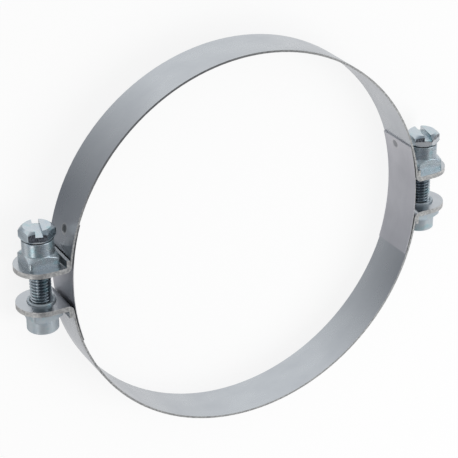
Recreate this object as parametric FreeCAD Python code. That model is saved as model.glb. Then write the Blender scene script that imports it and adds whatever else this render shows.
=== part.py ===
import FreeCAD, Part
import math
import os

# Two-part hose clamp with two bolts, lying on the edge of its band.
# Z is the axis of the hose, the bolts run along Y with their heads at +Y,
# and the two joints lie at -X and +X. The band's lower edge is at Z = 0.

os.makedirs("parts", exist_ok=True)

# Band: two half hoops of steel strip, each with a lug bent outward at both ends
hoop_bore = 150.0
band_width = 19.0
band_sheet = 0.8
lug_gap = 13.6
bend_radius = 2.6

# Angles that stiffen the lugs on the side away from the gap
angle_sheet = 1.2
angle_leg = 2.9
weld_film = 0.03

# Bridge tongues inside the hoop, spot-welded to the upper half
tongue_sheet = 0.5
tongue_reach = 23.6
left_tongue_rise = 1.1
right_tongue_rise = -0.6
weld_spot_size = 3.6
weld_spot_depth = 0.15
weld_spot_height = 20.0
left_weld_place = 10.5
right_weld_place = 7.3

# Metric bolts with a slotted hexagon head
thread_size = 8.0
bolt_length = 35.0
bolt_point = 1.0
head_flats = 12.0
head_height = 4.8
head_crown = 10.2
head_crown_drop = 1.5
slot_width = 2.7
slot_depth = 2.1
left_head_turn = -20.0
left_slot_turn = 5.0
right_head_turn = -30.0
right_slot_turn = 17.0

# Collared spacers under the heads, and nuts of the same outline, each with a square flange
collar_size = 11.9
spacer_collar_height = 5.8
nut_collar_height = 5.2
collar_chamfer = 0.4
flange_flats = 12.2
flange_corners = 17.0
flange_height = 4.3
flange_side = 3.3
flange_fillet = 0.4
flange_clearance = 0.1
spigot_size = 10.6
spigot_stand = 0.7
spigot_clearance = 0.1
nut_countersink = 0.4

# Running clearances, each measured on the radius
thread_clearance = 0.05
bore_clearance = 0.5

# Places worked out from the sizes above
hoop_radius = hoop_bore / 2
band_middle = band_width / 2
lug_face = lug_gap / 2
bend_height = lug_face + bend_radius
bend_place = math.sqrt((hoop_radius + bend_radius) ** 2 - bend_height ** 2)
bolt_place = bend_place + flange_clearance + flange_flats / 2
lug_end = bolt_place + band_width / 2
angle_inside = band_sheet + weld_film
angle_outside = angle_inside + angle_sheet
seat_height = lug_face + angle_outside
head_seat = seat_height + flange_height + spacer_collar_height


def vec(x, y, z=0.0):
    """Point in millimetres."""
    return FreeCAD.Vector(x, y, z)


def arc(start, middle, end):
    """Circular edge through three points."""
    return Part.Arc(start, middle, end).toShape()


def at_angle(radius, angle):
    """Point in the plane of the hoop, the angle in radians from +X."""
    return vec(radius * math.cos(angle), radius * math.sin(angle))


def mirrored(point):
    """Point on the other side of the hoop's upright middle plane."""
    return vec(-point.x, point.y, point.z)


def bend_points(depth):
    """Points of one face of the sheet: lug end, then start, middle and end of its bend.

    The depth is measured from the hoop's inside face, and every face of
    every layer turns about the same bend axis, so the layers nest.
    """
    axis = vec(bend_place, bend_height)
    radius = bend_radius - depth
    down = vec(0, -1)
    inward = vec(-bend_place, -bend_height).normalize()
    halfway = (down + inward).normalize()
    return [
        vec(lug_end, lug_face + depth),
        axis + down * radius,
        axis + halfway * radius,
        axis + inward * radius,
    ]


def face_edges(depth):
    """Edges of one face of the band from the right lug's end to the hoop."""
    end, first, middle, last = bend_points(depth)
    return [Part.makeLine(end, first), arc(first, middle, last)]


def leg_edges(depth, top):
    """Edges of one face of an angle, from the right lug's end through a square bend up its leg."""
    end, first = bend_points(depth)[:2]
    radius = bend_radius - depth
    slope = math.sqrt(0.5)
    middle = vec(bend_place - radius * slope, bend_height - radius * slope)
    last = vec(bend_place - radius, bend_height)
    return [Part.makeLine(end, first), arc(first, middle, last), Part.makeLine(last, vec(last.x, top))]


def prism(edges):
    """Solid as wide as the band, over a closed outline in the plane of the hoop."""
    wire = Part.Wire(Part.__sortEdges__(edges))
    return Part.Face(wire).extrude(vec(0, 0, band_width))


def lug_outline():
    """Solid that leaves both lugs with round ends about the bolts."""
    reach = vec(0, hoop_bore * 2, 0)
    ends = [vec(side * bolt_place, -hoop_bore, band_middle) for side in (-1, 1)]
    low = [vec(side * bolt_place, -hoop_bore, 0) for side in (-1, 1)]
    high = [vec(side * bolt_place, -hoop_bore, band_width) for side in (-1, 1)]
    left_tip = ends[0] - vec(band_middle, 0, 0)
    right_tip = ends[1] + vec(band_middle, 0, 0)
    edges = [
        Part.makeLine(low[0], low[1]),
        arc(low[1], right_tip, high[1]),
        Part.makeLine(high[1], high[0]),
        arc(high[0], left_tip, low[0]),
    ]
    return Part.Face(Part.Wire(edges)).extrude(reach)


def bolt_hole(side, diameter):
    """Round cutter along a bolt's axis, long enough for every layer."""
    base = vec(side * bolt_place, -hoop_bore / 2, band_middle)
    return Part.makeCylinder(diameter / 2, hoop_bore, base, vec(0, 1, 0))


def weld_spot(side, radius, outward):
    """Shallow round dent that an electrode leaves in a curved face."""
    angle = math.asin(weld_spot_height / hoop_radius)
    inner = radius - weld_spot_depth if outward else radius - weld_spot_size
    outer = radius + weld_spot_size if outward else radius + weld_spot_depth
    start = at_angle(inner, angle) + vec(0, 0, right_weld_place if side > 0 else left_weld_place)
    direction = at_angle(1.0, angle)
    if side < 0:
        start = mirrored(start)
        direction = mirrored(direction)
    return Part.makeCylinder(weld_spot_size / 2, outer - inner, start, direction)


def band_half(hole):
    """Upper half hoop with its two bent lugs."""
    edges = []
    for depth in (0.0, band_sheet):
        right = face_edges(depth)
        left = [edge.mirror(vec(0, 0), vec(1, 0)) for edge in right]
        last = bend_points(depth)[3]
        crown = arc(last, vec(0, hoop_radius + depth), mirrored(last))
        edges += right + [crown] + left
    for side in (-1, 1):
        edges.append(Part.makeLine(vec(side * lug_end, lug_face), vec(side * lug_end, lug_face + band_sheet)))
    solid = prism(edges).common(lug_outline())
    for side in (-1, 1):
        solid = solid.cut(bolt_hole(side, hole))
    return solid


def lug_angle(hole):
    """Angle on the right upper lug, its short leg standing straight up beside the band."""
    leg_top = seat_height + angle_leg
    inside = leg_edges(angle_inside, leg_top)
    outside = leg_edges(angle_outside, leg_top)
    tip = [vec(lug_end, lug_face + depth) for depth in (angle_inside, angle_outside)]
    top = [vec(bend_place - bend_radius + depth, leg_top) for depth in (angle_inside, angle_outside)]
    edges = inside + outside + [Part.makeLine(*tip), Part.makeLine(*top)]
    solid = prism(edges).common(lug_outline())
    return solid.cut(bolt_hole(1, hole))


def tongue(side):
    """Bridge tongue: a strip rolled to the inside of the hoop, welded a little off the gap's middle."""
    outer = hoop_radius - weld_film
    inner = outer - tongue_sheet
    rise = right_tongue_rise if side > 0 else left_tongue_rise
    low = math.asin((rise - tongue_reach) / hoop_radius)
    high = math.asin((rise + tongue_reach) / hoop_radius)
    middle = (low + high) / 2
    edges = [
        arc(at_angle(outer, low), at_angle(outer, middle), at_angle(outer, high)),
        arc(at_angle(inner, low), at_angle(inner, middle), at_angle(inner, high)),
        Part.makeLine(at_angle(outer, low), at_angle(inner, low)),
        Part.makeLine(at_angle(outer, high), at_angle(inner, high)),
    ]
    strip = prism(edges)
    if side < 0:
        strip = left_of(strip)
    return strip.cut(weld_spot(side, inner, False))


def hexagon(flats, height):
    """Hexagonal prism on the XY plane with one flat square to Y."""
    corner = flats / math.sqrt(3)
    points = [vec(corner * math.cos(math.radians(60 * i)), corner * math.sin(math.radians(60 * i))) for i in range(7)]
    return Part.Face(Part.makePolygon(points)).extrude(vec(0, 0, height))


def turned(points):
    """Solid of revolution about Z from (radius, height) points."""
    outline = [vec(radius, 0, height) for radius, height in points]
    face = Part.Face(Part.makePolygon(outline + outline[:1]))
    return face.revolve(vec(0, 0, 0), vec(0, 0, 1), 360)


def bolt(slot_turn):
    """Bolt standing on its shank's seat, head up, its slot sawn at an angle to the flats."""
    corner = head_flats / math.sqrt(3)
    head = hexagon(head_flats, head_height)
    crown = turned([
        (0, 0),
        (corner, 0),
        (corner, head_height - head_crown_drop),
        (head_crown / 2, head_height),
        (0, head_height),
    ])
    head = head.common(crown)
    slot_base = vec(-slot_width / 2, -head_flats, head_height - slot_depth)
    slot = Part.makeBox(slot_width, 2 * head_flats, 2 * slot_depth, slot_base)
    slot.rotate(vec(0, 0, 0), vec(0, 0, 1), slot_turn)
    head = head.cut(slot)
    radius = thread_size / 2
    shank = turned([
        (0, -bolt_length),
        (radius - bolt_point, -bolt_length),
        (radius, bolt_point - bolt_length),
        (radius, 0),
        (0, 0),
    ])
    return head.fuse(shank).removeSplitter()


def collar_outline(collar_height, spigot):
    """Outside of a spacer or a nut, its flange down: collar, fillet, coned flange, spigot."""
    collar = collar_size / 2
    flange = flange_corners / 2
    top = flange_height + collar_height
    slope = math.sqrt(0.5)
    points = [vec(0, 0, top), vec(collar - collar_chamfer, 0, top), vec(collar, 0, top - collar_chamfer)]
    fillet_top = vec(collar, 0, flange_height + flange_fillet)
    fillet_end = vec(collar + flange_fillet, 0, flange_height)
    fillet_axis = vec(collar + flange_fillet, 0, flange_height + flange_fillet)
    fillet_middle = fillet_axis - vec(flange_fillet * slope, 0, flange_fillet * slope)
    corner_top = vec(flange, 0, flange_side)
    edges = [Part.makeLine(points[0], points[1]), Part.makeLine(points[1], points[2])]
    edges.append(Part.makeLine(points[2], fillet_top))
    edges.append(arc(fillet_top, fillet_middle, fillet_end))
    edges.append(Part.makeLine(fillet_end, corner_top))
    edges.append(Part.makeLine(corner_top, vec(flange, 0, 0)))
    if spigot > 0:
        edges.append(Part.makeLine(vec(flange, 0, 0), vec(spigot_size / 2, 0, 0)))
        edges.append(Part.makeLine(vec(spigot_size / 2, 0, 0), vec(spigot_size / 2, 0, -spigot)))
        edges.append(Part.makeLine(vec(spigot_size / 2, 0, -spigot), vec(0, 0, -spigot)))
    else:
        edges.append(Part.makeLine(vec(flange, 0, 0), vec(0, 0, 0)))
    edges.append(Part.makeLine(vec(0, 0, -spigot), vec(0, 0, top)))
    body = Part.Face(Part.Wire(edges)).revolve(vec(0, 0, 0), vec(0, 0, 1), 360)
    return body


def squared(body):
    """Body with its flange cut square, so that it can't turn beside the angle's leg."""
    reach = flange_corners
    height = flange_height + flange_fillet
    for quarter in range(4):
        cutter = Part.makeBox(reach, 2 * reach, height, vec(flange_flats / 2, -reach, 0))
        cutter.rotate(vec(0, 0, 0), vec(0, 0, 1), 90 * quarter)
        body = body.cut(cutter)
    return body


def spacer():
    """Collared spacer, its flange down on the XY plane."""
    bore = thread_size / 2 + bore_clearance
    cutter = Part.makeCylinder(bore, 4 * head_seat, vec(0, 0, -2 * head_seat))
    return squared(collar_outline(spacer_collar_height, 0.0)).cut(cutter)


def nut():
    """Collared nut whose spigot passes through both sheets of the lug."""
    length = angle_outside + spigot_stand
    top = flange_height + nut_collar_height
    bore = thread_size / 2 + thread_clearance
    body = squared(collar_outline(nut_collar_height, length))
    body = body.cut(Part.makeCylinder(bore, length + top, vec(0, 0, -length)))
    wide = bore + nut_countersink
    for place, turn in ((-length, 1), (top, -1)):
        cone = Part.makeCone(wide, bore, nut_countersink, vec(0, 0, place), vec(0, 0, turn))
        body = body.cut(cone)
    return body


def on_bolt(shape, side, height, flipped=False, turn=0.0):
    """Shape made along Z, stood along a bolt's axis with its top at +Y, or at -Y when flipped."""
    placed = shape.copy()
    placed.rotate(vec(0, 0, 0), vec(0, 0, 1), turn)
    placed.rotate(vec(0, 0, 0), vec(1, 0, 0), 90 if flipped else -90)
    placed.translate(vec(side * bolt_place, height, band_middle))
    return placed


def left_of(shape):
    """Mirror image at the other joint."""
    return shape.mirror(vec(0, 0, 0), vec(1, 0, 0))


def lower_of(shape):
    """Mirror image on the other side of the gap."""
    return shape.mirror(vec(0, 0, 0), vec(0, 1, 0))


def build():
    """All the pieces, by name."""
    upper_hole = thread_size + 2 * bore_clearance
    lower_hole = spigot_size + 2 * spigot_clearance
    upper_band = band_half(upper_hole)
    for side in (-1, 1):
        upper_band = upper_band.cut(weld_spot(side, hoop_radius + band_sheet, True))
    upper_angle = lug_angle(upper_hole)
    lower_angle = lower_of(lug_angle(lower_hole))
    pieces = {
        "upper_band": upper_band,
        "lower_band": lower_of(band_half(lower_hole)),
        "upper_right_angle": upper_angle,
        "upper_left_angle": left_of(upper_angle),
        "lower_right_angle": lower_angle,
        "lower_left_angle": left_of(lower_angle),
        "upper_right_tongue": tongue(1),
        "upper_left_tongue": tongue(-1),
    }
    sleeve = spacer()
    collar_nut = nut()
    joints = (("left", -1, left_head_turn, left_slot_turn), ("right", 1, right_head_turn, right_slot_turn))
    for name, side, head_turn, slot_turn in joints:
        pieces[name + "_bolt"] = on_bolt(bolt(slot_turn), side, head_seat, turn=head_turn)
        pieces[name + "_spacer"] = on_bolt(sleeve, side, seat_height)
        pieces[name + "_nut"] = on_bolt(collar_nut, side, -seat_height, flipped=True)
    return pieces


for node, solid in build().items():
    solid.exportStep("parts/" + node + ".step")
    print(node, "solids", len(solid.Solids), "valid", solid.isValid(), "volume", round(solid.Volume, 1))
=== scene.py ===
# %% [markdown]
# # A double bolt hose clamp
# The clamp is two half hoops of steel strip, drawn together by two bolts.
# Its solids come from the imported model, which is in metres: Z is the axis of
# the hose, the bolts run along Y with their heads at +Y, and the clamp lies
# on the edge of its band.
# The photograph shows it hanging, so this scene lays the photograph's view
# down with it: what was in front of the clamp is now above it.

# %% Load the frame
import math

import bmesh
import bpy
import numpy as np
from mathutils import Matrix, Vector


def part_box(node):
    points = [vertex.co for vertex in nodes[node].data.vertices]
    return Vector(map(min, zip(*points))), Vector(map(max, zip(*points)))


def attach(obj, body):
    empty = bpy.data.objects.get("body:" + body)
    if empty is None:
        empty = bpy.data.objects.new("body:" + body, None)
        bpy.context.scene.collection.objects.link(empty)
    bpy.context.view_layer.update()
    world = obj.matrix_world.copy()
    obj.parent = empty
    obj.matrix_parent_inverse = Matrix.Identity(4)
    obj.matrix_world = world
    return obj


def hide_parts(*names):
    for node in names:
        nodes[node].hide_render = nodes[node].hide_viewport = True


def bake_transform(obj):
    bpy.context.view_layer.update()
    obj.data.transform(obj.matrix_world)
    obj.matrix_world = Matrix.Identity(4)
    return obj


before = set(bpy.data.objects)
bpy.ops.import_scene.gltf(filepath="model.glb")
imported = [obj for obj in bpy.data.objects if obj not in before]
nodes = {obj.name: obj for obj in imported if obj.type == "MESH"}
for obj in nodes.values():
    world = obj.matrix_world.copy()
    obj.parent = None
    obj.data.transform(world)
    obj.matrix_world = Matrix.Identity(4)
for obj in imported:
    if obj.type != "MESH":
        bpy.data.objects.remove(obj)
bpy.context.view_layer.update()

MM = 0.001

# %% [markdown]
# ## Measures
# Every place is read from the solids where they give it, so that the looks
# stay on the clamp if its sizes change. The few sizes that the solids don't
# have, such as the pitch of the thread, are real ones in millimetres.

# %% Read the places of the bolts and the hoop
band_low, band_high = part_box("upper_band")
band_width = band_high.z - band_low.z
band_middle = (band_high.z + band_low.z) / 2
tongue_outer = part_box("upper_right_tongue")[1].x
strip_thickness = 0.8 * MM
hoop_radius = band_high.y - strip_thickness / 2
spacer_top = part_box("left_spacer")[1].y
bolt_tip, bolt_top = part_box("left_bolt")[0].y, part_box("left_bolt")[1].y
bolt_place = (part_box("right_nut")[0].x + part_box("right_nut")[1].x) / 2
print("bolts at x = +-%.2f mm, head seat at y = %.2f mm" % (bolt_place / MM, spacer_top / MM))

# %% The welds
weld_height = 20.0 * MM
weld_places = {
    side: (side * math.sqrt(tongue_outer**2 - weld_height**2), weld_height, height * MM)
    for side, height in ((-1, 10.5), (1, 7.3))
}
print("welds at", [[round(x / MM, 1) for x in place] for place in weld_places.values()])

# %% [markdown]
# ## The camera
# The photograph was taken from the left of the clamp and a little above it.
# Turn, lift and roll are written for the hanging clamp, and the helper lays
# them down: a hanging (x, y, z) becomes (x, z, -y).

# %% Camera at the photograph's angle
view_turn, view_lift, view_roll = np.radians([-28.857, 27.051, -0.476])
view_distance = 0.65323
view_target = np.array([-0.00505, 0.0, 0.00228])


def laid_down(hanging):
    """A direction or place of the hanging clamp, turned a quarter about X to lie on the floor."""
    x, y, z = hanging
    return np.array([x, z, -y])


back = np.array([
    math.sin(view_turn) * math.cos(view_lift),
    -math.cos(view_turn) * math.cos(view_lift),
    math.sin(view_lift),
])
level = np.array([math.cos(view_turn), math.sin(view_turn), 0.0])
upright = np.cross(back, level)
right = level * math.cos(view_roll) + upright * math.sin(view_roll)
up = upright * math.cos(view_roll) - level * math.sin(view_roll)
camera_place = laid_down(view_target + back * view_distance) + np.array([0, 0, band_middle])

camera = bpy.data.objects.new("camera", bpy.data.cameras.new("camera"))
camera.data.sensor_width = 36.0
camera.data.lens = 134.75
camera.data.clip_start = 0.01
axes = [laid_down(axis) for axis in (right, up, back)]
camera.matrix_world = Matrix([
    [axes[0][row], axes[1][row], axes[2][row], camera_place[row]] for row in range(3)
] + [[0, 0, 0, 1]])
bpy.context.scene.collection.objects.link(camera)
bpy.context.scene.camera = camera
print("camera at", [round(float(x), 4) for x in camera_place])

# %% [markdown]
# ## Materials
# Bare metal is almost nothing but reflection, so its look is the shader's
# metallic colour, its roughness, and very small bumps. A helper wires nodes
# up from plain words, and each finish is then a short list of layers.

# %% Helpers for materials
def new_material(name):
    """A material with only its output and its Principled shader."""
    material = bpy.data.materials.new(name)
    material.use_nodes = True
    return material, material.node_tree, material.node_tree.nodes["Principled BSDF"]


def add(tree, kind, inputs=None, **settings):
    """A node with its settings, each input either a plain value or another node's output."""
    made = tree.nodes.new(kind)
    for name, value in settings.items():
        setattr(made, name, value)
    for name, value in (inputs or {}).items():
        if isinstance(value, bpy.types.NodeSocket):
            tree.links.new(value, made.inputs[name])
        else:
            made.inputs[name].default_value = value
    return made


def own_place(tree):
    """The piece's own coordinates, in metres."""
    return add(tree, "ShaderNodeTexCoord").outputs["Object"]


def noise(tree, stretch, detail=3.0):
    """Noise from 0 to 1 over the piece's own coordinates, with so many waves per metre along each axis."""
    mapped = add(tree, "ShaderNodeMapping", {"Vector": own_place(tree), "Scale": stretch}).outputs[0]
    return add(tree, "ShaderNodeTexNoise", {"Vector": mapped, "Scale": 1.0, "Detail": detail}).outputs[0]


def ranged(tree, value, low, high, new_low, new_high):
    """The value stretched from one range to another, and held at its ends."""
    inputs = {"Value": value, "From Min": low, "From Max": high, "To Min": new_low, "To Max": new_high}
    return add(tree, "ShaderNodeMapRange", inputs).outputs[0]


def mixed(tree, share, first, second):
    """One colour or socket faded into another by a share from 0 to 1."""
    made = add(tree, "ShaderNodeMix", data_type="RGBA")
    for socket, value in ((made.inputs[0], share), (made.inputs[6], first), (made.inputs[7], second)):
        if isinstance(value, bpy.types.NodeSocket):
            tree.links.new(value, socket)
        else:
            socket.default_value = value
    return made.outputs[2]


def bumped(tree, layers):
    """A normal roughened by several (height, distance in metres) layers, one over another."""
    normal = None
    for height, distance in layers:
        inputs = {"Height": height, "Distance": distance, "Strength": 1.0}
        if normal is not None:
            inputs["Normal"] = normal
        normal = add(tree, "ShaderNodeBump", inputs).outputs[0]
    return normal


# %% More helpers for materials
def own_axis(tree, axis):
    """One of the piece's own coordinates, X, Y or Z, in metres."""
    return add(tree, "ShaderNodeSeparateXYZ", {0: own_place(tree)}).outputs[axis]


def facing_up(tree):
    """How far the surface faces along the piece's own Z, from -1 to 1."""
    normal = add(tree, "ShaderNodeTexCoord").outputs["Normal"]
    return add(tree, "ShaderNodeSeparateXYZ", {0: normal}).outputs["Z"]


def reckon(tree, operation, first, second=0.0):
    """One sum of two values."""
    return add(tree, "ShaderNodeMath", {0: first, 1: second}, operation=operation).outputs[0]


def reach_from(tree, centre, along):
    """Distance from a centre in metres.

    Each axis is counted by a factor, such as 0 for one that doesn't matter.
    """
    away = add(tree, "ShaderNodeVectorMath", {0: own_place(tree), 1: centre}, operation="SUBTRACT").outputs[0]
    away = add(tree, "ShaderNodeVectorMath", {0: away, 1: along}, operation="MULTIPLY").outputs[0]
    return add(tree, "ShaderNodeVectorMath", {0: away}, operation="LENGTH").outputs["Value"]


# %% [markdown]
# ### Galvanised strip
# The bands, angles and tongues are cut from cold-rolled strip with a thin
# zinc coat. The rolls leave fine lines along the strip, which here run round
# the hoop: noise that changes fast along Z and slowly across X and Y draws
# them on the hoop and on the flat lugs alike. Cloudy patches of zinc change
# the colour and the gloss a little.
# Three things break that even grey. Each weld leaves a dark oval, and a ring
# about it is painted lighter, a painted highlight. Where the strip was sheared,
# the cut edge is bare, rough and warmer, so it is nearly matt, and on the
# hoop's upper left it is painted dark, a painted shade. And a strip that is
# bent into a hoop curls a little across its width too, so that its edges
# flare outwards. A long low bump draws that: on the outside it tips more and
# more towards the near edge, and on the inside towards the far one.

# %% Where the strip is cut, and where it is welded
weld_radius, weld_rim = 1.6 * MM, 2.1 * MM


def cut_edge(tree):
    """1 on the sheared edges: faces square to Z, and the round ends of the lugs."""
    side_edge = ranged(tree, reckon(tree, "ABSOLUTE", facing_up(tree)), 0.6, 0.85, 0.0, 1.0)
    lug_end = band_width / 2
    ends = []
    for side in (-1, 1):
        outwards = reckon(tree, "MULTIPLY", own_axis(tree, "X"), side)
        beyond = ranged(tree, outwards, bolt_place, bolt_place + 0.5 * MM, 0.0, 1.0)
        reach = reach_from(tree, (side * bolt_place, 0, band_middle), (1, 0, 1))
        at_end = ranged(tree, reach, lug_end - 0.08 * MM, lug_end - 0.03 * MM, 0.0, 1.0)
        ends.append(reckon(tree, "MULTIPLY", beyond, at_end))
    return reckon(tree, "MAXIMUM", side_edge, reckon(tree, "MAXIMUM", *ends))


def weld_marks(tree):
    """Two values: 1 inside each dark oval, and 1 on the ring about it that is painted lighter as a painted
    highlight.
    """
    reaches = [reach_from(tree, place, (1, 1, 1)) for place in weld_places.values()]
    nearest = reckon(tree, "MINIMUM", *reaches)
    dark_oval = ranged(tree, nearest, weld_radius - 0.35 * MM, weld_radius + 0.35 * MM, 1.0, 0.0)
    from_rim = reckon(tree, "ABSOLUTE", reckon(tree, "SUBTRACT", nearest, weld_rim))
    rim = ranged(tree, from_rim, 0.1 * MM, 0.45 * MM, 1.0, 0.0)
    return dark_oval, rim


def edge_curl(tree, height):
    """Height in metres of the curl across the strip, whose edges flare outwards.

    It is a parabola, flat at one edge and of full height at the other. On
    the outside of the hoop it rises towards the near edge, and on the inside
    it sinks towards the far edge.
    """
    above = reckon(tree, "SUBTRACT", own_axis(tree, "Z"), band_middle)
    across = reckon(tree, "DIVIDE", above, band_width)
    reach = reach_from(tree, (0, 0, 0), (1, 1, 0))
    inner, outer = hoop_radius - 0.01 * MM, hoop_radius + 0.01 * MM
    from_flat = reckon(tree, "ADD", across, ranged(tree, reach, inner, outer, -0.5, 0.5))
    signed = ranged(tree, reach, inner, outer, -height, height)
    return reckon(tree, "MULTIPLY", reckon(tree, "MULTIPLY", from_flat, from_flat), signed)


# %% Colours and depths of the strip
# These are the dark of the weld ovals and the light of the painted highlight on the ring about them.
weld_oval_dark, weld_ring_highlight = (0.10, 0.11, 0.11, 1), (0.72, 0.71, 0.68, 1)
# The third colour here is a painted shade for the cut edge on the hoop's upper left.
bare_pale, bare_dark, painted_edge_shade = (0.66, 0.65, 0.63, 1), (0.44, 0.435, 0.43, 1), (0.12, 0.12, 0.13, 1)
curl_height, line_height, grain_height = 0.9 * MM, 0.006 * MM, 0.008 * MM
print("the bump of the curl is %.1f mm high at its edge" % (curl_height / MM))


# %% The strip's finish
def painted_edge_shade_share(tree):
    """Share of painted shade on the cut edge: 0.8 on the hoop's upper left, and nothing on the lugs."""
    parts = add(tree, "ShaderNodeSeparateXYZ", {0: own_place(tree)}).outputs
    up_left = ranged(tree, reckon(tree, "SUBTRACT", parts["Y"], parts["X"]), 0.03, 0.09, 0.0, 0.8)
    return reckon(tree, "MULTIPLY", up_left, ranged(tree, parts["Y"], 0.018, 0.045, 0.0, 1.0))


def strip_finish(name, pale, dark, gloss, weld_marking):
    """Galvanised strip of two greys, with rolling lines, dark welds with a painted highlight about them, bare
    cut edges with a painted shade on the hoop's upper left, and a slight curl.
    """
    material, tree, shader = new_material(name)
    clouds = noise(tree, (70, 70, 110), 4.0)
    lines = noise(tree, (28, 28, 3600), 2.0)
    grain = noise(tree, (2600, 2600, 2600), 2.0)
    shears = noise(tree, (900, 900, 900), 3.0)
    cut = cut_edge(tree)
    dark_oval, rim = weld_marks(tree)
    colour = mixed(tree, ranged(tree, clouds, 0.3, 0.7, 0.0, 1.0), pale, dark)
    colour = mixed(tree, ranged(tree, lines, 0.35, 0.75, 0.0, 0.3), colour, dark)
    # The ring about each weld is painted lighter, a painted highlight, and the oval inside it is dark.
    colour = mixed(tree, reckon(tree, "MULTIPLY", rim, 0.6 * weld_marking), colour, weld_ring_highlight)
    colour = mixed(tree, reckon(tree, "MULTIPLY", dark_oval, weld_marking), colour, weld_oval_dark)
    bare = mixed(tree, ranged(tree, shears, 0.38, 0.62, 0.0, 1.0), bare_pale, bare_dark)
    # The cut edge on the hoop's upper left is painted dark, a painted shade.
    bare = mixed(tree, painted_edge_shade_share(tree), bare, painted_edge_shade)
    colour = mixed(tree, cut, colour, bare)
    tree.links.new(colour, shader.inputs["Base Color"])
    rough = ranged(tree, clouds, 0.25, 0.75, gloss - 0.03, gloss + 0.04)
    rough = reckon(tree, "ADD", rough, reckon(tree, "MULTIPLY", reckon(tree, "MAXIMUM", cut, dark_oval), 0.12))
    tree.links.new(rough, shader.inputs["Roughness"])
    tree.links.new(ranged(tree, cut, 0.0, 1.0, 1.0, 0.62), shader.inputs["Metallic"])
    layers = [(edge_curl(tree, curl_height), 1.0), (lines, line_height), (grain, grain_height)]
    tree.links.new(bumped(tree, layers), shader.inputs["Normal"])
    return material


band_finish = strip_finish(
    "galvanised_strip", pale=(0.53, 0.55, 0.57, 1), dark=(0.48, 0.50, 0.525, 1), gloss=0.28, weld_marking=0.9)
tongue_finish = strip_finish(
    "tongue_strip", pale=(0.61, 0.61, 0.64, 1), dark=(0.53, 0.53, 0.56, 1), gloss=0.42, weld_marking=0.45)
print("strip finishes:", band_finish.name, tongue_finish.name)

# %% [markdown]
# ### Bright zinc
# Bolts, spacers and nuts are turned or headed and then plated. The plating
# is brighter and a little blue, with faint greenish colours where it is
# thick, and the lathe's rings show through it as very fine lines round the
# piece. The nuts are barrel-plated and come out duller than the rest.
# The flats of the heads are different again: the hexagon is punched out of
# a round blank, which tears the metal into a coarse grain on the flats that
# face the front. These are painted dark above a narrow smooth step at the
# seat, a painted shade, and that step is painted paler, a painted highlight.
# The flats beside them are smooth.

# %% Colours of the plating
zinc_blue, zinc_pale, zinc_green = (0.50, 0.57, 0.62, 1), (0.60, 0.62, 0.63, 1), (0.38, 0.55, 0.60, 1)
# The second of these colours is a painted shade, for the thread's roots and the seat under each head.
zinc_speck, groove_shade = (0.42, 0.45, 0.48, 1), (0.035, 0.045, 0.055, 1)
# The pale step colour is a painted highlight, and the dark torn colour a painted shade, both on the flats
# that face the front.
flat_side, front_step_highlight = (0.58, 0.65, 0.69, 1), (0.72, 0.74, 0.76, 1)
front_flat_shade, torn_pale = (0.20, 0.20, 0.21, 1), (0.62, 0.63, 0.65, 1)
root_reach, flank_reach = 3.35 * MM, 3.85 * MM
print("zinc tints:", zinc_blue[:3], zinc_pale[:3], zinc_green[:3])


# %% The plated finishes
def plated_finish(name, rings, ring_height, gloss, metal, shaded_places=()):
    """Bright zinc: three faint tints, lines round the bolt's axis, and places of painted shade from 0 to 1.
    """
    material, tree, shader = new_material(name)
    patches = noise(tree, (260, 260, 260), 2.0)
    turned = noise(tree, (60, rings, 60), 2.0)
    specks = noise(tree, (1900, 1900, 1900), 3.0)
    colour = mixed(tree, ranged(tree, patches, 0.35, 0.65, 0.0, 1.0), zinc_blue, zinc_pale)
    colour = mixed(tree, ranged(tree, patches, 0.50, 0.68, 0.0, 0.8), colour, zinc_green)
    colour = mixed(tree, ranged(tree, specks, 0.55, 0.8, 0.0, 0.35), colour, zinc_speck)
    # Each of these places is painted dark, a painted shade.
    for shaded_place in shaded_places:
        colour = mixed(tree, shaded_place(tree), colour, groove_shade)
    tree.links.new(colour, shader.inputs["Base Color"])
    tree.links.new(ranged(tree, specks, 0.3, 0.75, gloss - 0.04, gloss + 0.08), shader.inputs["Roughness"])
    tree.links.new(bumped(tree, [(turned, ring_height), (specks, 0.003 * MM)]), shader.inputs["Normal"])
    shader.inputs["Metallic"].default_value = metal
    return material


def thread_root_shade(tree):
    """0.6 of painted shade in the roots of the thread, and 0 at its crests."""
    reaches = [reach_from(tree, (side * bolt_place, 0, band_middle), (1, 0, 1)) for side in (-1, 1)]
    below_head = ranged(tree, own_axis(tree, "Y"), spacer_top - 1.0 * MM, spacer_top, 1.0, 0.0)
    root = ranged(tree, reckon(tree, "MINIMUM", *reaches), root_reach, flank_reach, 0.6, 0.0)
    return reckon(tree, "MULTIPLY", root, below_head)


def seat_shadow_line(tree):
    """1 in the painted shadow along the narrow groove where the head meets its spacer."""
    above = reckon(tree, "SUBTRACT", own_axis(tree, "Y"), spacer_top + 0.02 * MM)
    away = reckon(tree, "ABSOLUTE", above)
    return ranged(tree, away, 0.22 * MM, 0.34 * MM, 1.0, 0.0)


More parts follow.
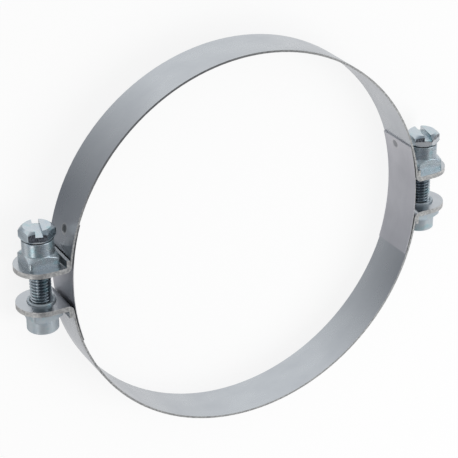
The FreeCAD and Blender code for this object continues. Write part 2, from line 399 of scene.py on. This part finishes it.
def grain_and_shade_finish(name, step):
    """Punched flats: coarse grain above a step so many metres over the seat on the flats that face the front,
    painted dark as a painted shade, and smooth zinc below, painted paler on the front step as a painted
    highlight.
    """
    material, tree, shader = new_material(name)
    grain = noise(tree, (2100, 900, 2100), 4.0)
    drift = noise(tree, (380, 380, 380), 1.0)
    wander = ranged(tree, drift, 0.3, 0.7, -0.12 * MM, 0.12 * MM)
    height = reckon(tree, "ADD", own_axis(tree, "Y"), wander)
    # Flats that face the front get a painted shade above the step and a painted highlight on it.
    in_front = ranged(tree, facing_up(tree), 0.80, 0.84, 0.0, 1.0)
    torn = ranged(tree, height, spacer_top + step, spacer_top + step + 0.2 * MM, 0.0, 1.0)
    torn = reckon(tree, "MULTIPLY", torn, in_front)
    smooth = mixed(tree, in_front, flat_side, front_step_highlight)
    dark = mixed(tree, ranged(tree, grain, 0.4, 0.6, 0.0, 1.0), front_flat_shade, torn_pale)
    colour = mixed(tree, torn, smooth, dark)
    # The painted shadow under the head.
    colour = mixed(tree, seat_shadow_line(tree), colour, groove_shade)
    tree.links.new(colour, shader.inputs["Base Color"])
    tree.links.new(ranged(tree, torn, 0.0, 1.0, 0.26, 0.32), shader.inputs["Roughness"])
    on_step = reckon(tree, "SUBTRACT", in_front, torn)
    tree.links.new(ranged(tree, on_step, 0.0, 1.0, 1.0, 0.55), shader.inputs["Metallic"])
    tears = reckon(tree, "MULTIPLY", grain, torn)
    tree.links.new(bumped(tree, [(tears, 0.05 * MM)]), shader.inputs["Normal"])
    return material


spacer_finish = plated_finish(
    "spacer_zinc", rings=1900, ring_height=0.009 * MM, gloss=0.28, metal=0.8, shaded_places=(seat_shadow_line,))
nut_finish = plated_finish("nut_zinc", rings=2200, ring_height=0.016 * MM, gloss=0.40, metal=0.5)
bolt_finish = plated_finish(
    "bolt_zinc", rings=400, ring_height=0.016 * MM, gloss=0.20, metal=1.0,
    shaded_places=(seat_shadow_line, thread_root_shade))
flat_finishes = {
    "left": grain_and_shade_finish("left_grainy_shaded_flats", 0.75 * MM),
    "right": grain_and_shade_finish("right_grainy_shaded_flats", 2.3 * MM),
}
print("plated finishes:", spacer_finish.name, nut_finish.name, bolt_finish.name)

# %% Give the solids their finishes
for name, node in nodes.items():
    finish = spacer_finish if "spacer" in name else nut_finish if "nut" in name else band_finish
    node.data.materials.clear()
    node.data.materials.append(finish)
print("finished", len(nodes), "nodes")

# %% [markdown]
# ## Surfaces from grids
# Each new piece is a grid of points worked out as whole arrays, with rows
# one way and columns the other. One helper numbers the corners of the
# grid's cells, and another makes a closed mesh of the points, merging the
# points that meet at a pole.

# %% Helpers for grids
# Points nearer to each other than these, in the mesh's own unit, are merged:
# the first at poles and seams, the second where a bevel leaves slivers.
merge_reach, sliver = 1e-5, 0.002


def taken_from(mesh):
    """A bmesh of a mesh that isn't needed any more."""
    made = bmesh.new()
    made.from_mesh(mesh)
    bpy.data.meshes.remove(mesh)
    return made


def grid_quads(rows, columns, wrap):
    """Corner numbers of each cell, row by row.

    A wrapped grid also joins its last column to its first.
    """
    row, column = np.meshgrid(np.arange(rows - 1), np.arange(columns - (not wrap)), indexing="ij")
    here = row * columns + column
    beside = row * columns + (column + 1) % columns
    return np.stack([here, beside, beside + columns, here + columns], -1).reshape(-1, 4)


def closed_mesh(name, points, faces):
    """A bmesh of these points and faces with the points that coincide merged."""
    mesh = bpy.data.meshes.new(name)
    mesh.from_pydata(np.asarray(points).reshape(-1, 3).tolist(), [], np.asarray(faces).tolist())
    made = taken_from(mesh)
    bmesh.ops.remove_doubles(made, verts=made.verts, dist=merge_reach)
    return made


def as_object(name, made):
    """An object at the origin that holds this bmesh."""
    mesh = bpy.data.meshes.new(name)
    made.to_mesh(mesh)
    made.free()
    thing = bpy.data.objects.new(name, mesh)
    bpy.context.scene.collection.objects.link(thing)
    return thing


def piece(name, made, finishes, smooth_angle=32):
    """A piece of the clamp in its finishes, smooth except at edges sharper than the angle."""
    thing = as_object(name, made)
    thing.data.shade_smooth()
    thing.data.set_sharp_from_angle(angle=math.radians(smooth_angle))
    for finish in finishes:
        thing.data.materials.append(finish)
    print(name, "has", len(thing.data.polygons), "faces")
    return thing


# %% [markdown]
# ## The bolts
# The solid bolt has a plain shank, and the thread is what catches the light
# in the photograph. The thread is a cylinder whose radius depends on height
# and angle together: a point's phase is its height in pitches less its turn,
# and the same phase always has the same radius, which makes a helix.
# The head is a grid too, of rings whose radius is that of a hexagon or of a
# circle. From the seat up they are: a small circle, a cone that cuts the
# lower corners, a narrow smooth step at full width, the punched flats a
# hair inside it, and the steeper cone of the crown.

# %% Sizes of a bolt, in millimetres
thread_radius, thread_pitch, thread_depth = 4.0, 1.25, 0.72
head_flats, head_height = 12.0, (bolt_top - spacer_top) / MM
head_crown, head_crown_drop = 10.2, 1.5
seat_size, seat_cone = 11.5, 0.9
step_height, step_depth, step_lip, step_slope = 0.7, 0.09, 0.02, 0.08
slot_width, slot_depth = 2.7, 2.1
edge_break, keen_angle = 0.13, 25
crest_share, flank_share = 0.14, 0.62
plain_neck, thread_fade, tip_cone, into_head = 1.6, 1.2, 1.0, 1.0
shank_length = (spacer_top - bolt_tip) / MM
print("head %.1f mm high on a shank of %.1f mm" % (head_height, shank_length))


# %% The thread
def shank(steps=64, per_pitch=16):
    """Threaded rod from its tip up into the head.

    The radius falls from the crest to the root along straight flanks as the
    phase leaves the crest, the tip is coned, and the thread fades out just
    under the head.
    """
    heights = np.arange(-shank_length, into_head, thread_pitch / per_pitch)
    turns = np.arange(steps) / steps
    height, turn = np.meshgrid(heights, turns, indexing="ij")
    phase = (height / thread_pitch - turn) % 1.0
    from_crest = np.abs(phase - 0.5) * 2
    sink = np.clip((from_crest - crest_share) / flank_share, 0, 1)
    fade = np.clip((-plain_neck - height) / thread_fade, 0, 1)
    radius = thread_radius - thread_depth * sink * fade
    radius = np.minimum(radius, thread_radius - tip_cone + (height + shank_length))
    angle = turn * 2 * math.pi
    around = np.stack([radius * np.cos(angle), radius * np.sin(angle), height], -1)
    tip = np.zeros((1, steps, 3))
    tip[..., 2] = heights[0]
    crown = np.zeros((1, steps, 3))
    crown[..., 2] = heights[-1]
    points = np.concatenate([tip, around, crown])
    return points, grid_quads(len(points), steps, True)


# %% The head
def hexagon_radius(angle, flats):
    """Distance from the axis to a hexagon's side, whose corners are at multiples of 60 degrees."""
    return flats / 2 / np.cos(angle % (math.pi / 3) - math.pi / 6)


def head(steps=96):
    """Hexagonal head, ring by ring from the middle of its seat to the middle of its crown.

    Each ring is a radius and a height that both depend on the angle. A cone
    cuts the rings in proportion to how far they lie outside its circle.
    """
    angle = np.arange(steps) / steps * 2 * math.pi
    wide = hexagon_radius(angle, head_flats)
    flat = hexagon_radius(angle, head_flats - 2 * step_depth)
    corner = head_flats / math.sqrt(3)
    seat, crown = seat_size / 2, head_crown / 2
    rise = (wide - seat) * seat_cone
    fall = (flat - crown) * head_crown_drop / (corner - crown)
    level = np.ones(steps)
    rings = [
        (0 * level, 0 * level),
        (seat * level, 0 * level),
        (wide, rise),
        (wide, np.maximum(step_height, rise + step_lip)),
        (flat, np.maximum(step_height, rise + step_lip) + step_slope),
        (flat, head_height - fall),
        (crown * level, head_height * level),
        (0 * level, head_height * level),
    ]
    radius, height = np.array(rings).transpose(1, 0, 2)
    points = np.stack([radius * np.cos(angle), radius * np.sin(angle), height], -1)
    made = closed_mesh("head", points, grid_quads(len(rings), steps, True))
    bmesh.ops.dissolve_limit(made, angle_limit=math.radians(0.5), verts=made.verts, edges=made.edges)
    return made


# %% The slot and the softened edges
def sawn(turn):
    """The head with its slot sawn at an angle and its edges broken by a bevel.

    Its flats are marked as finish 1. Merging the slivers that the bevel
    leaves where it meets the slot keeps the mesh closed.
    """
    blank = as_object("blank", head())
    saw = bmesh.new()
    bmesh.ops.create_cube(saw, size=1.0)
    size = (slot_width, 3 * head_flats, 2 * slot_depth)
    bmesh.ops.transform(saw, matrix=Matrix.Diagonal((*size, 1)), verts=saw.verts)
    move = Matrix.Rotation(math.radians(turn), 4, "Z") @ Matrix.Translation((0, 0, head_height))
    bmesh.ops.transform(saw, matrix=move, verts=saw.verts)
    blade = as_object("blade", saw)
    cut = blank.modifiers.new("slot", "BOOLEAN")
    cut.object, cut.operation, cut.solver = blade, "DIFFERENCE", "EXACT"
    soft = blank.modifiers.new("edges", "BEVEL")
    soft.width, soft.segments, soft.limit_method = edge_break, 3, "ANGLE"
    soft.angle_limit = math.radians(keen_angle)
    bpy.context.view_layer.update()
    finished = blank.evaluated_get(bpy.context.evaluated_depsgraph_get())
    made = taken_from(bpy.data.meshes.new_from_object(finished))
    for scratch in (blank, blade):
        bpy.data.objects.remove(scratch)
    bmesh.ops.remove_doubles(made, verts=made.verts, dist=sliver)
    bmesh.ops.dissolve_degenerate(made, edges=made.edges, dist=sliver)
    for face in made.faces:
        middle = face.calc_center_median()
        on_flat = abs(face.normal.z) < 0.1 and face.normal.dot(middle) > head_flats / 2 - 2 * step_depth
        face.material_index = 1 if on_flat and middle.length > 0.9 * head_flats / 2 else 0
    return made


# %% Put both bolts together
def stand_on_bolt(side, turn):
    """Matrix from a bolt's own millimetres, head up, to its place on the clamp, head at +Y."""
    place = Matrix.Translation((side * bolt_place, spacer_top, band_middle))
    tip_over = Matrix.Rotation(math.radians(-90), 4, "X")
    return place @ tip_over @ Matrix.Rotation(math.radians(turn), 4, "Z") @ Matrix.Scale(MM, 4)


for name, side, head_turn, slot_turn in (("left", -1, -20.0, 5.0), ("right", 1, -30.0, 17.0)):
    whole = sawn(slot_turn)
    rod = closed_mesh("rod", *shank())
    rod_mesh = bpy.data.meshes.new("rod")
    rod.to_mesh(rod_mesh)
    rod.free()
    whole.from_mesh(rod_mesh)
    bpy.data.meshes.remove(rod_mesh)
    bmesh.ops.transform(whole, matrix=stand_on_bolt(side, head_turn), verts=whole.verts)
    bolt = piece(name + "_threaded_bolt", whole, (bolt_finish, flat_finishes[name]))
    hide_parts(name + "_bolt")
    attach(bolt, name + "_screw")

# %% [markdown]
# ## Spacers and nuts
# These are cold-forged, so no edge on them is keen, and a soft edge is what
# catches the light. Each is a profile carried round the bolt: bore, flange,
# cone, fillet, collar. The flange is square, so near it the profile's radius
# is held inside a square with rounded corners. A soft minimum of the two
# radii rounds the arcs where cone and square meet, which a plain minimum
# would leave keen. The profile itself is sampled closely and then averaged
# with its neighbours, which rounds its own corners in the same way.

# %% Sizes of a spacer and a nut, in millimetres
collar_radius, collar_chamfer = 5.95, 0.4
flange_height, flange_side, flange_corner, flange_fillet = 4.3, 2.8, 8.5, 0.4
fillet_middle = 0.12
held_fade, held_release = 0.5, 6.0
flange_flats = (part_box("left_spacer")[1].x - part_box("left_spacer")[0].x) / MM
corner_round, edge_round = 1.1, 0.3
spacer_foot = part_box("left_spacer")[0].y
nut_low, nut_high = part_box("left_nut")[0].y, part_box("left_nut")[1].y
spigot_radius, spigot_chamfer = 5.3, 0.15
spacer_clearance, nut_clearance, nut_mouth = 0.5, 0.05, 0.4
print("flanges %.1f mm across, spigot up to y = %.2f mm" % (flange_flats, nut_high / MM))


# %% The profile
def profile(corners, spacing=0.14):
    """Closely spaced (radius, height) points along straight runs, each averaged with its neighbours."""
    corners = np.array(corners)
    run = np.concatenate([[0], np.cumsum(np.hypot(*np.diff(corners, axis=0).T))])
    at = np.linspace(0, run[-1], int(run[-1] / spacing))
    points = np.stack([np.interp(at, run, corners[:, i]) for i in (0, 1)], -1)
    points[1:-1] = (points[:-2] + 2 * points[1:-1] + points[2:]) / 4
    return points


def rounded_square(angle, flats, corner):
    """Distance from the axis to a square with rounded corners.

    Within reach of the flat it is half the flats over the cosine of the
    angle from the flat's middle. Past it, it is where the ray meets the
    corner's circle.
    """
    off = np.abs((angle + math.pi / 4) % (math.pi / 2) - math.pi / 4)
    middle = flats / 2 - corner
    along = middle * (np.cos(off) + np.sin(off))
    on_corner = along + np.sqrt(np.maximum(along**2 - 2 * middle**2 + corner**2, 0))
    return np.where(np.tan(off) * flats / 2 < middle, flats / 2 / np.cos(off), on_corner)


def forged(corners, steps=144):
    """Closed skin of a spacer or nut: the profile round the bolt, its flange held in the square.

    The soft minimum of two radii is half of this: their sum, less the root
    of their difference squared plus the rounding squared. Above the flange
    the square grows out of the way.
    """
    points = profile(corners)
    angle = np.arange(steps) / steps * 2 * math.pi
    radius, height = points[:, :1], points[:, 1:]
    free = np.clip((height - flange_height) / held_fade, 0, 1)
    square = rounded_square(angle, flange_flats, corner_round)[None, :] + held_release * free
    held = (radius + square - np.sqrt((radius - square) ** 2 + edge_round**2)) / 2
    return np.stack([held * np.cos(angle), held * np.sin(angle), height + 0 * held], -1)


# %% Both profiles, from the bore's foot round the outside and back
def outside(collar_top):
    """Corners of the outside from the flange's foot up to the collar's top."""
    cone_end = collar_radius + flange_fillet
    return [
        (flange_corner, 0.0), (flange_corner, flange_side), (cone_end, flange_height),
        (collar_radius + fillet_middle, flange_height + fillet_middle),
        (collar_radius, flange_height + flange_fillet),
        (collar_radius, collar_top - collar_chamfer), (collar_radius - collar_chamfer, collar_top),
    ]


spacer_height = (spacer_top - spacer_foot) / MM
spacer_bore = thread_radius + spacer_clearance
spacer_corners = [(spacer_bore, 0.0)] + outside(spacer_height) + [
    (spacer_bore, spacer_height), (spacer_bore, 0.0),
]
nut_bore = thread_radius + nut_clearance
nut_foot = -spacer_foot
nut_height, spigot_length = (nut_foot - nut_low) / MM, (nut_high - nut_foot) / MM
nut_corners = [
    (nut_bore, nut_mouth - spigot_length), (nut_bore + nut_mouth, -spigot_length),
    (spigot_radius - spigot_chamfer, -spigot_length), (spigot_radius, spigot_chamfer - spigot_length),
    (spigot_radius, 0.0),
] + outside(nut_height) + [
    (nut_bore + nut_mouth, nut_height), (nut_bore, nut_height - nut_mouth),
    (nut_bore, nut_mouth - spigot_length),
]
print("spacer %.1f mm high, nut %.1f mm" % (spacer_height, nut_height))

# %% Make both pairs
for side_name, side in (("left", -1), ("right", 1)):
    for kind, corners, foot, quarter, body, finish in (
        ("spacer", spacer_corners, spacer_foot, -90, "upper_half", spacer_finish),
        ("nut", nut_corners, nut_foot, 90, "lower_half", nut_finish),
    ):
        points = forged(corners)
        made = closed_mesh(kind, points, grid_quads(len(points), points.shape[1], True))
        place = Matrix.Translation((side * bolt_place, foot, band_middle))
        place = place @ Matrix.Rotation(math.radians(quarter), 4, "X") @ Matrix.Scale(MM, 4)
        bmesh.ops.transform(made, matrix=place, verts=made.verts)
        bmesh.ops.remove_doubles(made, verts=made.verts, dist=sliver * MM)
        bmesh.ops.recalc_face_normals(made, faces=made.faces)
        forging = piece(side_name + "_forged_" + kind, made, (finish,), 50)
        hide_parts(side_name + "_" + kind)
        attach(forging, body)

# %% [markdown]
# ## The bridge tongues
# A tongue is a strip welded to the upper half. It is rolled a little flatter
# than the hoop, so that it touches the band near its ends and stands off it
# over the gap.
# It is one closed outline of the strip's cross-section, carried round the
# hoop: the columns run across the strip and back, and the rows along it.

# %% The strip
tongue_sheet, tongue_stand = 0.5 * MM, 0.4 * MM
spot_radius, spot_depth = 1.8 * MM, 0.18 * MM
tongue_round, dent_edge, dent_slope = 0.6, 1.15, 0.4


def tongue_points(side, low, high, rows=150, columns=52):
    """Strip on the inside of the hoop, from one height in metres to another.

    Each row is at one angle. Its radius is the hoop's less the strip's
    thickness on the inner face, less a stand-off that is a parabola of the
    angle, nothing at both ends. The corners are rounded off, and the
    electrode's dent is a shallow bowl in the inner face about the weld.
    """
    angle = np.linspace(math.asin(low / tongue_outer), math.asin(high / tongue_outer), rows)
    across = np.linspace(0.0, 1.0, columns)
    rim = tongue_sheet / 2
    from_edge = np.clip(np.minimum(across, 1 - across) * band_width / rim, 0, 1)
    ease = 1 - np.sqrt(np.clip(1 - (1 - from_edge) ** 2, 0, 1))
    angles, heights = np.meshgrid(angle, band_low.z + across * band_width, indexing="ij")
    stand = tongue_stand * (1 - ((angles - angle.mean()) / np.ptp(angle) * 2) ** 2)
    outer = tongue_outer - stand - ease * rim * tongue_round
    inner = tongue_outer - stand - tongue_sheet + ease * rim * tongue_round
    weld_angle = math.asin(weld_height / tongue_outer)
    away = np.hypot((angles - weld_angle) * tongue_outer, heights - weld_places[side][2]) / spot_radius
    inner = inner + spot_depth * np.clip((dent_edge - away) / dent_slope, 0, 1)
    loops = []
    for radius, order in ((outer, slice(None)), (inner, slice(None, None, -1))):
        face = np.stack([side * radius * np.cos(angles), radius * np.sin(angles), heights], -1)
        loops.append(face[:, order])
    return np.concatenate(loops, axis=1)


def ladder(start, columns):
    """Quads across one end of the strip, from the outer face's points to the inner face's."""
    here = np.arange(columns - 1)
    far = 2 * columns - 1 - here
    return start + np.stack([here, here + 1, far - 1, far], -1)


for name, side in (("right", 1), ("left", -1)):
    low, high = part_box("upper_" + name + "_tongue")
    points = tongue_points(side, low.y, high.y)
    rows, columns = points.shape[0], points.shape[1] // 2
    ends = [ladder(0, columns), ladder((rows - 1) * 2 * columns, columns)[:, ::-1]]
    faces = np.concatenate([grid_quads(rows, 2 * columns, True)] + ends)
    made = closed_mesh("tongue", points, faces)
    bmesh.ops.recalc_face_normals(made, faces=made.faces)
    tongue = piece(name + "_sprung_tongue", made, (tongue_finish,), 40)
    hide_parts("upper_" + name + "_tongue")
    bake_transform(tongue)

# %% [markdown]
# ## Floor, world and light
# Metal shows what stands around it, so the studio is built in two parts.
# What lights the matt floor is a plain, even, white sky and one soft lamp.
# What the metal shows is drawn for glossy rays alone: white below, where the
# backdrop is, and a grey room above with two bright windows and a dark
# doorway. A dark card below the clamp, which is behind it as it hangs, gives
# the long soft shade on the left of the hoop and at its lower right. A pale
# card above it and a small bright one low beside it light the right-hand
# spacer. They are real cards at a real distance, so that each side of the
# clamp shows another part of them.

# %% The floor
def seen_directly(tree):
    """1 for rays that show the background as it is: from the camera, off gloss and through glass."""
    paths = add(tree, "ShaderNodeLightPath").outputs
    seen = reckon(tree, "MAXIMUM", paths["Is Camera Ray"], paths["Is Glossy Ray"])
    return reckon(tree, "MAXIMUM", seen, paths["Is Transmission Ray"])


def shade_with(tree, shader, first, second, share):
    """The material's surface, faded from one shader to another in place of its Principled shader."""
    tree.nodes.remove(shader)
    blend = add(tree, "ShaderNodeMixShader", {0: share, 1: first.outputs[0], 2: second.outputs[0]})
    tree.links.new(blend.outputs[0], tree.nodes["Material Output"].inputs["Surface"])


floor_drop, floor_glow = 0.2 * MM, 0.85
ground = bmesh.new()
bmesh.ops.create_grid(ground, x_segments=1, y_segments=1, size=2.0)
floor = as_object("floor", ground)
floor.location.z = -floor_drop
floor.visible_glossy = False
floor_material, tree, shader = new_material("floor_white")
matt = add(tree, "ShaderNodeBsdfDiffuse", {"Color": (0.92, 0.92, 0.92, 1)})
glow = add(tree, "ShaderNodeEmission", {"Color": (1, 1, 1, 1), "Strength": 1.0})
shade_with(tree, shader, matt, glow, reckon(tree, "MULTIPLY", seen_directly(tree), floor_glow))
floor.data.materials.append(floor_material)
print("floor 4 m wide")

# %% The cards
def studio_card(name, place, half_width, stretch, full, none, colour):
    """A level card that shows only in the metal.

    Its colour is full to one distance from its middle and gone at another,
    in metres, each axis counted by its stretch.
    """
    sheet = bmesh.new()
    bmesh.ops.create_grid(sheet, x_segments=1, y_segments=1, size=half_width)
    card = as_object(name, sheet)
    card.location = place
    card.visible_camera = card.visible_diffuse = card.visible_shadow = card.visible_transmission = False
    material, tree, shader = new_material(name + "_paint")
    share = ranged(tree, reach_from(tree, (0, 0, 0), stretch), full, none, 1.0, 0.0)
    clear = add(tree, "ShaderNodeBsdfTransparent")
    paint = add(tree, "ShaderNodeEmission", {"Color": colour, "Strength": 1.0})
    shade_with(tree, shader, clear, paint, share)
    card.data.materials.append(material)
    print(name, "at", place)


studio_card("dark_card", (-0.30, 0.0, -0.30), 0.45, (1, 0.75, 0), 0.0, 0.32, (0.11, 0.125, 0.15, 1))
studio_card("pale_card", (0.29, -0.16, 0.30), 0.14, (1, 0.8, 0), 0.06, 0.12, (0.62, 0.65, 0.67, 1))
studio_card("streak_card", (0.30, -0.10, 0.075), 0.10, (1, 1, 0), 0.03, 0.08, (1.5, 1.55, 1.6, 1))

# %% What the metal shows of the room
# Each row is a name, the way towards it, the degrees from there to which its
# colour is full and at which it is gone, and the colour.
sky_light = 0.6
backdrop_low, backdrop_high, room_grey = (0.80, 0.80, 0.81, 1), (1.0, 1.02, 1.04, 1), (0.34, 0.37, 0.40, 1)
room = (
    ("wall in front", (0.43, -0.45, 0.78), 10, 30, (0.33, 0.36, 0.39, 1)),
    ("dark doorway", (-0.22, -0.45, 0.86), 14, 42, (0.07, 0.08, 0.10, 1)),
    ("left window", (-0.79, -0.45, 0.40), 6, 14, (2.0, 2.0, 2.0, 1)),
    ("high window", (0.62, 0.40, 0.68), 12, 25, (1.9, 2.0, 2.08, 1)),
)
world = bpy.data.worlds.new("studio")
world.use_nodes = True
bpy.context.scene.world = world
tree = world.node_tree
way = add(tree, "ShaderNodeTexCoord").outputs["Generated"]
parts = add(tree, "ShaderNodeSeparateXYZ", {0: way}).outputs
to_heads = ranged(tree, parts["Y"], -0.5, 0.5, 0.0, 1.0)
below = mixed(tree, to_heads, backdrop_low, backdrop_high)
shown = mixed(tree, ranged(tree, parts["Z"], -0.25, 0.05, 0.0, 1.0), below, room_grey)
for name, toward, full, none, colour in room:
    toward = np.array(toward) / np.linalg.norm(toward)
    likeness = add(tree, "ShaderNodeVectorMath", {0: way, 1: tuple(toward)}, operation="DOT_PRODUCT")
    edge, core = math.cos(math.radians(none)), math.cos(math.radians(full))
    share = ranged(tree, likeness.outputs["Value"], edge, core, 0.0, 1.0)
    shown = mixed(tree, share, shown, colour)
glossy = add(tree, "ShaderNodeLightPath").outputs["Is Glossy Ray"]
backdrop = tree.nodes["Background"]
tree.links.new(mixed(tree, glossy, (1, 1, 1, 1), shown), backdrop.inputs["Color"])
strength = ranged(tree, seen_directly(tree), 0.0, 1.0, sky_light, 1.0)
tree.links.new(strength, backdrop.inputs["Strength"])
print("the metal shows", ", ".join(row[0] for row in room))


# %% The lamp
def lamp(name, place, size, power):
    """A square soft lamp that looks at the middle of the clamp and doesn't show in the metal."""
    light = bpy.data.lights.new(name, "AREA")
    light.size, light.energy = size, power
    thing = bpy.data.objects.new(name, light)
    bpy.context.scene.collection.objects.link(thing)
    away = np.array(place, float)
    away /= np.linalg.norm(away)
    across = np.cross([0, 0, 1], away)
    across /= np.linalg.norm(across)
    over = np.cross(away, across)
    thing.matrix_world = Matrix([
        [across[row], over[row], away[row], place[row]] for row in range(3)
    ] + [[0, 0, 0, 1]])
    thing.visible_glossy = False
    return thing


key = lamp("key", (0.55, -0.28, 0.75), 0.7, 5.0)
bpy.context.scene.view_settings.view_transform = "Standard"
print("lamps:", key.name)
